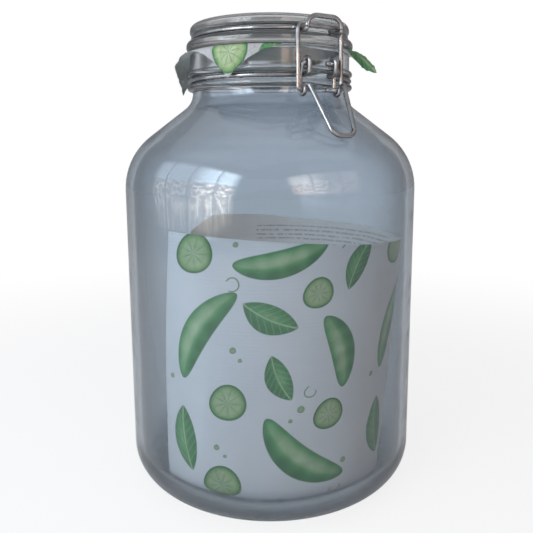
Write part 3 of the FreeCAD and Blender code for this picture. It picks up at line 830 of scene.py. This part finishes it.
# ------------------------------------------------------------------- materials

# The rules on the leaflet's inner side and the pitch of the painted shade stripes that stand for
# the paper's fine ribs, in metres.
RULE_PITCH = 0.0031
RULES_ACROSS = (0.205, 0.330)
RULES_UP = (0.1385, 0.1515)
RIB_PITCH = 0.0021
# How closely the rules' gaps and the patches of the ribs' painted shade repeat along and up the
# paper.
RULE_GAPS = (620.0, 360.0, 0.0)
RIB_SHADE_PATCHES = (18.0, 240.0, 0.0)

LEAFLET_WHITE = ((0.3, (0.80, 0.80, 0.80)), (0.7, (0.86, 0.86, 0.86)))
# Painted shade of the paper's fine ribs.
RIB_SHADE_GREY = (0.45, 0.45, 0.46, 1.0)
INNER_WARMTH = (0.84, 0.79, 0.73, 1.0)
RULE_GREY = (0.16, 0.16, 0.17, 1.0)

SHEET_WHITE = ((0.3, (0.46, 0.47, 0.48)), (0.7, (0.64, 0.65, 0.66)))
# Painted shade over the sheet's front and along its creases, and painted light on its underside.
SHEET_SHADE = (0.42, 0.42, 0.45, 1.0)
CREASE_SHADE_GREY = (0.56, 0.58, 0.57, 1.0)
SHEET_BACK_PAINTED_LIGHT = (0.62, 0.68, 0.64, 1.0)
FOLD_SCALE = 150.0
WRINKLE_SCALE = 160.0


def block(n, place, low, high):
    """1 between two places on the flat paper and 0 outside them."""
    return n.math("MULTIPLY", n.math("GREATER_THAN", place, low), n.math("LESS_THAN", place, high))


def stripes(n, place, pitch):
    """A wave between -1 and 1 that repeats at a pitch."""
    return n.math("SINE", n.math("MULTIPLY", place, 2 * math.pi / pitch))


def leaflet_material(shapes, discs, tooth):
    """White ribbed paper, its fine ribs only painted shade stripes, with a repeating green print
    outside and faint grey rules inside.
    """
    made, n, shader = material("printed_leaflet_paper")
    flat = n.add("ShaderNodeUVMap", {"uv_map": "flat"}).outputs["UV"]
    across, up = n.split(flat)["X"], n.split(flat)["Y"]
    column = n.math("WRAP", across, REPEAT, 0.0)
    place = n.add("ShaderNodeCombineXYZ", None, X=column, Y=up).outputs[0]
    grain = n.group(tooth, Vector=flat, Scale=1.0)
    plain = n.ramp(grain["Mottle"], LEAFLET_WHITE)
    # Painted shade: the fine ribs are grey stripes up the paper, unevenly strong.
    ribs = n.span(stripes(n, up, RIB_PITCH), -1.0, 1.0, 0.0, 0.14)
    rib_shade = n.math("MULTIPLY", ribs, n.noise(n.vector("MULTIPLY", flat, RIB_SHADE_PATCHES), 1.0))
    paper = n.mix(rib_shade, plain, RIB_SHADE_GREY)
    front = printed(n, shapes, discs, paper, place, LEAFLET_MOTIFS)
    gaps = n.noise(n.vector("MULTIPLY", flat, RULE_GAPS), 1.0, 0.0)
    rules = n.span(stripes(n, up, RULE_PITCH), 0.2, 0.7, 0.0, 0.62)
    ruled = n.math("MULTIPLY", rules, n.span(gaps, 0.36, 0.5))
    inside = n.math("MULTIPLY", block(n, across, *RULES_ACROSS), block(n, up, *RULES_UP))
    warm = n.mix(1.0, paper, INNER_WARMTH, "MULTIPLY")
    back = n.mix(n.math("MULTIPLY", ruled, inside), warm, RULE_GREY)
    under = n.add("ShaderNodeAttribute", {"attribute_name": "underside"}).outputs["Fac"]
    n.put(shader, "Base Color", n.mix(under, front, back))
    n.put(shader, "Roughness", 0.62)
    n.put(shader, "Specular IOR Level", 0.3)
    n.bump(shader, grain["Height"], 0.12, 0.0002)
    return made


def sheet_material(shapes, discs, tooth):
    """Crinkled white paper with a green print, with painted shade along its creases and over its
    front, and a lighter underside of painted light.
    """
    made, n, shader = material("printed_sheet_paper")
    flat = n.add("ShaderNodeUVMap", {"uv_map": "flat"}).outputs["UV"]
    grain = n.group(tooth, Vector=flat, Scale=1.0)
    folds = n.add("ShaderNodeTexVoronoi", {"feature": "DISTANCE_TO_EDGE"}, Vector=flat,
                  Scale=FOLD_SCALE)
    crease = n.span(folds.outputs["Distance"], 0.0, 0.07, 1.0, 0.0)
    paper = n.ramp(grain["Mottle"], SHEET_WHITE)
    front = printed(n, shapes, discs, paper, flat, SHEET_MOTIFS)
    # Painted shade: the whole printed front is darkened.
    shaded_front = n.mix(0.55, front, n.mix(1.0, front, SHEET_SHADE, "MULTIPLY"))
    # Painted shade: the creases are greyed where they fold.
    crease_shaded = n.mix(n.math("MULTIPLY", crease, 0.12), shaded_front, CREASE_SHADE_GREY)
    # Painted light: the unprinted underside is lighter than the front, to lift its shade under the
    # lid.
    back = n.mix(0.72, front, SHEET_BACK_PAINTED_LIGHT)
    under = n.add("ShaderNodeAttribute", {"attribute_name": "underside"}).outputs["Fac"]
    n.put(shader, "Base Color", n.mix(under, crease_shaded, back))
    n.put(shader, "Roughness", 0.5)
    n.put(shader, "Specular IOR Level", 0.35)
    wrinkles = n.math("ADD", n.noise(flat, WRINKLE_SCALE, 3.0), n.math("MULTIPLY", crease, 0.4))
    n.bump(shader, wrinkles, 0.7, 0.0012)
    return made


# The glass's tint and haze at shares of the height from the floor to the piece's top. The tint also
# holds painted light and shade: the jar is darker at its heel (partly from its thick glass), darker
# in a band where the shoulder meets the neck and lighter in its neck; the lid is darker at its
# flange and top than on the dome's side between them.
JAR_TINTS_PAINTED_SHADING = (
    (0.0, (0.15, 0.185, 0.22)),
    (0.05, (0.22, 0.27, 0.32)),
    (0.11, (0.52, 0.57, 0.62)),
    (0.62, (0.54, 0.60, 0.66)),
    (0.85, (0.54, 0.60, 0.67)),
    (0.90, (0.42, 0.47, 0.53)),
    (0.93, (0.64, 0.67, 0.71)),
    (1.0, (0.64, 0.66, 0.68)),
)
JAR_HAZE = ((0.0, 0.34), (0.06, 0.22), (0.13, 0.02), (0.88, 0.02), (0.95, 0.10))
JAR_RIPPLE = 0.06
LID_TINTS_PAINTED_SHADING = (
    (0.94, (0.36, 0.37, 0.375)),
    (0.962, (0.36, 0.37, 0.375)),
    (0.975, (0.60, 0.61, 0.615)),
    (0.990, (0.60, 0.61, 0.615)),
    (1.0, (0.44, 0.445, 0.45)),
)
LID_HAZE = ((0.0, 0.12), (1.0, 0.12))
LID_RIPPLE = 0.02
# What each face of the glass lets through to what is inside, for light from the lamps,
# and the tint that the glass deepens to where it is seen along its wall.
LAMP_TINT = (0.93, 0.94, 0.95, 1.0)
EDGE_TINT = (0.045, 0.058, 0.070, 1.0)
SMUDGE_SCALE = 26.0
RIPPLE_SCALE = (18.0, 18.0, 42.0)


def glass_material(name, top, tints_painted_shading, haze, ripple):
    """Smoky pressed glass, clear in its walls and hazier where it is thick, with painted light and
    shade in bands up its height.
    """
    made, n, shader = material(name)
    place = n.add("ShaderNodeTexCoord").outputs["Object"]
    share = n.math("DIVIDE", n.split(place)["Z"], top * MM)
    facing = n.add("ShaderNodeLayerWeight", None, Blend=0.5).outputs["Facing"]
    edge = n.span(facing, 0.22, 0.90, 0.0, 0.95)
    # Painted light and shade: the tint ramp makes bands of the glass lighter and darker by height.
    n.put(shader, "Base Color", n.mix(edge, n.ramp(share, tints_painted_shading), EDGE_TINT))
    rough = n.ramp(share, [(level, (value,) * 3) for level, value in haze])
    smudge = n.span(n.noise(place, SMUDGE_SCALE, 3.0, 0.6), 0.45, 0.75, 0.0, 0.04)
    n.put(shader, "Roughness", n.math("ADD", rough, smudge))
    n.put(shader, "IOR", 1.5)
    n.put(shader, "Transmission Weight", 1.0)
    wide = n.add("ShaderNodeMapping", None, Vector=place, Scale=RIPPLE_SCALE)
    n.bump(shader, n.noise(wide.outputs[0], 1.0), ripple, 0.004)
    path = n.add("ShaderNodeLightPath")
    clear = n.add("ShaderNodeBsdfTransparent", None, Color=LAMP_TINT)
    n.surface(path.outputs["Is Shadow Ray"], shader, clear)
    return made


STEEL_COLOURS = ((0.3, (0.22, 0.22, 0.225)), (0.7, (0.42, 0.42, 0.43)))
PATCH_SCALE = 140.0
GRAIN_SCALE = 2200.0


def steel_material():
    """Bright drawn wire: a fine grain, dull patches and a little dirt."""
    made, n, shader = material("drawn_steel_wire")
    place = n.add("ShaderNodeTexCoord").outputs["Object"]
    patches = n.noise(place, PATCH_SCALE, 4.0, 0.6)
    n.put(shader, "Base Color", n.ramp(patches, STEEL_COLOURS))
    n.put(shader, "Metallic", 1.0)
    n.put(shader, "Roughness", n.span(patches, 0.3, 0.75, 0.38, 0.2))
    n.bump(shader, n.noise(place, GRAIN_SCALE), 0.15, 0.0001)
    return made


# ----------------------------------------------------------------------- stage

CAMERA_BEARING = math.radians(-31.0)
CAMERA_DISTANCE = 0.400
CAMERA_HEIGHT = 0.2125
CAMERA_PITCH = math.radians(90 - 9.4)
CAMERA_ROLL = math.radians(0.23)
CAMERA_SENSOR = 36.0
CAMERA_LENS = 42.68
CAMERA_SHIFT = (-0.0063, -0.0370)

# The room that lights the jar and shows in its faces: cool on the left, warm on the right.
COOL_SIDE = (0.22, 0.255, 0.30, 1.0)
WARM_SIDE = (0.20, 0.160, 0.148, 1.0)
ROOM_TOP = (0.38, 0.39, 0.41, 1.0)
WHITE = (1.0, 1.0, 1.0, 1.0)
GLOSSY_LEVEL = 0.08

FLOOR_SIZE = 8.0
FLOOR_GREY = (0.86, 0.87, 0.88, 1.0)
# The floor's white is thinner near the jar, so that its shadow shows: the two distances,
# in metres, and the white's share at each.
FLOOR_NEAR, NEAR_WHITE = 0.2, 0.80
FLOOR_FAR, FAR_WHITE = 0.75, 1.0


def shown_level(n, path):
    """How much of the plain white surround a ray meets: all of it when it is seen, straight
    or through glass, a little in a reflection and none once it has lit paper."""
    seen = n.math("MAXIMUM", path.outputs["Is Camera Ray"], path.outputs["Is Transmission Ray"])
    glossy = n.math("MULTIPLY", path.outputs["Is Glossy Ray"], GLOSSY_LEVEL)
    level = n.math("MAXIMUM", seen, glossy)
    return n.math("MULTIPLY", level, n.math("LESS_THAN", path.outputs["Diffuse Depth"], 0.5))


def pale_floor():
    """A pale floor that is seen as white and keeps the jar's shadow."""
    bpy.ops.mesh.primitive_plane_add(size=FLOOR_SIZE, location=(0, 0, 0))
    floor = bpy.context.object
    floor.name = "floor"
    made, n, shader = material("pale_floor")
    n.put(shader, "Base Color", FLOOR_GREY)
    n.put(shader, "Roughness", 0.9)
    n.put(shader, "Specular IOR Level", 0.1)
    far = n.length(n.add("ShaderNodeTexCoord").outputs["Object"])
    white = n.span(far, FLOOR_NEAR, FLOOR_FAR, NEAR_WHITE, FAR_WHITE)
    share = n.math("MULTIPLY", shown_level(n, n.add("ShaderNodeLightPath")), white)
    glow = n.add("ShaderNodeEmission", None, Color=WHITE, Strength=1.0)
    n.surface(share, shader, glow)
    floor.data.materials.append(made)


def studio_world():
    """A plain white surround where it is seen, and the dim room where it lights."""
    world = bpy.data.worlds.new("studio")
    bpy.context.scene.world = world
    world.use_nodes = True
    n = Nodes(world.node_tree)
    towards = n.split(n.add("ShaderNodeTexCoord").outputs["Generated"])
    side = n.math("ADD", n.math("MULTIPLY", towards["X"], math.cos(CAMERA_BEARING)),
                  n.math("MULTIPLY", towards["Y"], math.sin(CAMERA_BEARING)))
    room = n.mix(n.span(side, -0.8, 0.8), COOL_SIDE, WARM_SIDE)
    lifted = n.mix(n.span(towards["Z"], 0.15, 0.9), room, ROOM_TOP)
    level = shown_level(n, n.add("ShaderNodeLightPath"))
    background = world.node_tree.nodes["Background"]
    n.put(background, "Color", n.mix(level, lifted, WHITE))
    n.put(background, "Strength", 1.0)


# The colours of a window's sky and of what stands below it, the colour of each lamp, and
# how closely the broken shapes in a window repeat.
SKY_BLUE = (0.78, 0.90, 1.0, 1.0)
LOW_WARMTH = (1.0, 0.86, 0.74, 1.0)
COOL_LAMP = (0.90, 0.95, 1.0)
WARM_LAMP = (1.0, 0.80, 0.66)
HIGH_LAMP = (0.96, 0.98, 1.0)
BROKEN_SCALE = (24.0, 13.0, 0.0)
# The point in the jar that the windows face, in metres.
WINDOW_TARGET = (0, 0, 0.16)


def fading(n, share):
    """1 over the middle of a lamp's side and 0 at both its ends."""
    return n.math("MULTIPLY", n.span(share, 0.0, 0.12), n.span(share, 0.88, 1.0, 1.0, 0.0))


def window_look(n, bars, bright):
    """A window's light: thin bars, blue sky over warm broken shapes, one end brighter."""
    coords = n.add("ShaderNodeNewGeometry").outputs["Parametric"]
    u, v = n.split(coords)["X"], n.split(coords)["Y"]
    wave = n.math("ABSOLUTE", n.math("SINE", n.math("MULTIPLY", u, math.pi * bars)))
    panes = n.span(wave, 0.06, 0.22, 0.25, 1.0)
    sky = n.span(v, 0.50, 0.58)
    stretched = n.vector("MULTIPLY", coords, BROKEN_SCALE)
    broken = n.span(n.noise(stretched, 1.0, 3.0), 0.45, 0.62, 0.3, 1.0)
    near = n.span(n.math("ABSOLUTE", n.math("SUBTRACT", u, bright)), 0.05, 0.35, 1.6, 0.35)
    level = n.math("MULTIPLY", n.math("MAXIMUM", n.math("MULTIPLY", sky, 0.8), broken), panes)
    shaped = n.math("MULTIPLY", n.math("MULTIPLY", fading(n, u), fading(n, v)), near)
    return n.math("MULTIPLY", level, shaped), n.mix(sky, LOW_WARMTH, SKY_BLUE)


def softbox(name, place, target, size, power, colour, bars=0, bright=0.5):
    """A soft lamp that faces a point, as a window when it has bars."""
    lamp = bpy.data.lights.new(name, "AREA")
    lamp.shape = "RECTANGLE"
    lamp.size, lamp.size_y = size
    lamp.energy = power
    lamp.color = colour
    if bars:
        lamp.use_nodes = True
        n = Nodes(lamp.node_tree)
        level, tone = window_look(n, bars, bright)
        n.put(lamp.node_tree.nodes["Emission"], "Strength", level)
        n.put(lamp.node_tree.nodes["Emission"], "Color", tone)
    made = placed(name, lamp)
    made.location = place
    made.rotation_euler = (Vector(target) - Vector(place)).to_track_quat("-Z", "Y").to_euler()


def beside_camera(bearing, distance, height):
    """A place by its bearing to the camera's right, in degrees, its distance and height."""
    angle = CAMERA_BEARING + math.radians(bearing)
    return (math.sin(angle) * distance, -math.cos(angle) * distance, height)


def lamps():
    """A cool window on the left, a weak warm one on the right and a broad lamp overhead."""
    softbox("window_left", beside_camera(-61, 0.80, 0.385), WINDOW_TARGET, size=(1.28, 0.76),
            power=22.0, colour=COOL_LAMP, bars=4, bright=0.80)
    softbox("window_right", beside_camera(42, 0.80, 0.42), WINDOW_TARGET, size=(0.92, 0.46),
            power=5.0, colour=WARM_LAMP, bars=3, bright=0.2)
    softbox("overhead", (0, 0.1, 1.5), (0, 0, 0.1), size=(2.4, 2.4), power=4.0, colour=HIGH_LAMP)


def camera():
    """The camera that looks at the jar from a little left of its closure."""
    lens = bpy.data.cameras.new("camera")
    lens.sensor_width = CAMERA_SENSOR
    lens.lens = CAMERA_LENS
    lens.shift_x, lens.shift_y = CAMERA_SHIFT
    made = placed("camera", lens)
    made.location = beside_camera(0, CAMERA_DISTANCE, CAMERA_HEIGHT)
    made.rotation_euler = (CAMERA_PITCH, CAMERA_ROLL, CAMERA_BEARING)
    bpy.context.scene.camera = made


# ------------------------------------------------------------------------ make

def dress(made, node, body, finish):
    """Puts a finished piece in a CAD node's place."""
    made.data.materials.clear()
    made.data.materials.append(finish)
    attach(made, body)
    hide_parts(node)


def main():
    shapes, discs, tooth = tapered_shape_group(), round_shape_group(), paper_tooth_group()
    jar_glass = glass_material("smoky_jar_glass", RIM_TOP, JAR_TINTS_PAINTED_SHADING, JAR_HAZE, JAR_RIPPLE)
    lid_glass = glass_material("smoky_lid_glass", LID_TOP, LID_TINTS_PAINTED_SHADING, LID_HAZE, LID_RIPPLE)
    steel = steel_material()

    body = turned("jar_body", jar_section(), JAR_COLUMNS)
    dress(body, "glass_jar", "jar", jar_glass)
    cover = turned("jar_lid", lid_section(), LID_COLUMNS)
    dress(cover, "glass_lid", "lid", lid_glass)
    for node, owner in WIRES:
        dress(drawn_wire(node), node, owner, steel)
    paper = printed_sheet()
    dress(paper, "printed_sheet", "jar", sheet_material(shapes, discs, tooth))
    dress(leaflet(), "leaflet", "jar", leaflet_material(shapes, discs, tooth))

    pale_floor()
    studio_world()
    lamps()
    camera()
    bpy.context.scene.view_settings.view_transform = "Standard"


main()
